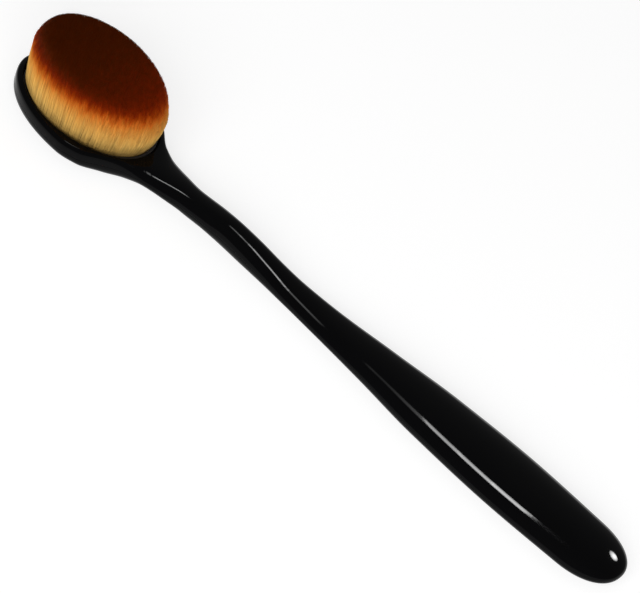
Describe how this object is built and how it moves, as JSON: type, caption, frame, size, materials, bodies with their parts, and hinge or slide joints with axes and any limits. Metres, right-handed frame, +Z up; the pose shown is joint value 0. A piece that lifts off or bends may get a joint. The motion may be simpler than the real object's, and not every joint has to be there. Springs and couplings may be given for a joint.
{
  "type": "oval cosmetic brush",
  "caption": "Spoon-shaped oval make-up brush: dense two-tone fibre pack set in the cupped head of a slim, wavy, glossy black moulded handle with a flat palm end.",
  "frame": {"origin": "on the plane the brush lies on, midway between its head tip and tail tip and on its plane of symmetry", "axes": "+X from the head to the tail of the handle, +Y across it, +Z up out of the bristles"},
  "size_m": [0.165, 0.0278, 0.0185],
  "materials": {
    "front_shell": "polished black moulded plastic",
    "back_shell": "polished black moulded plastic",
    "bristle_cup": "plain black moulded plastic",
    "cup_glue": "cured adhesive film",
    "root_resin": "cured potting resin",
    "bristle_pack": "fine synthetic fibres, tan at the root, dyed dark brown at the tips"
  },
  "bodies": {
    "root": {"front_shell": "front_shell", "back_shell": "back_shell", "bristle_cup": "bristle_cup", "cup_glue": "cup_glue", "root_resin": "root_resin", "bristle_pack": "bristle_pack"}
  },
  "joints": []
}
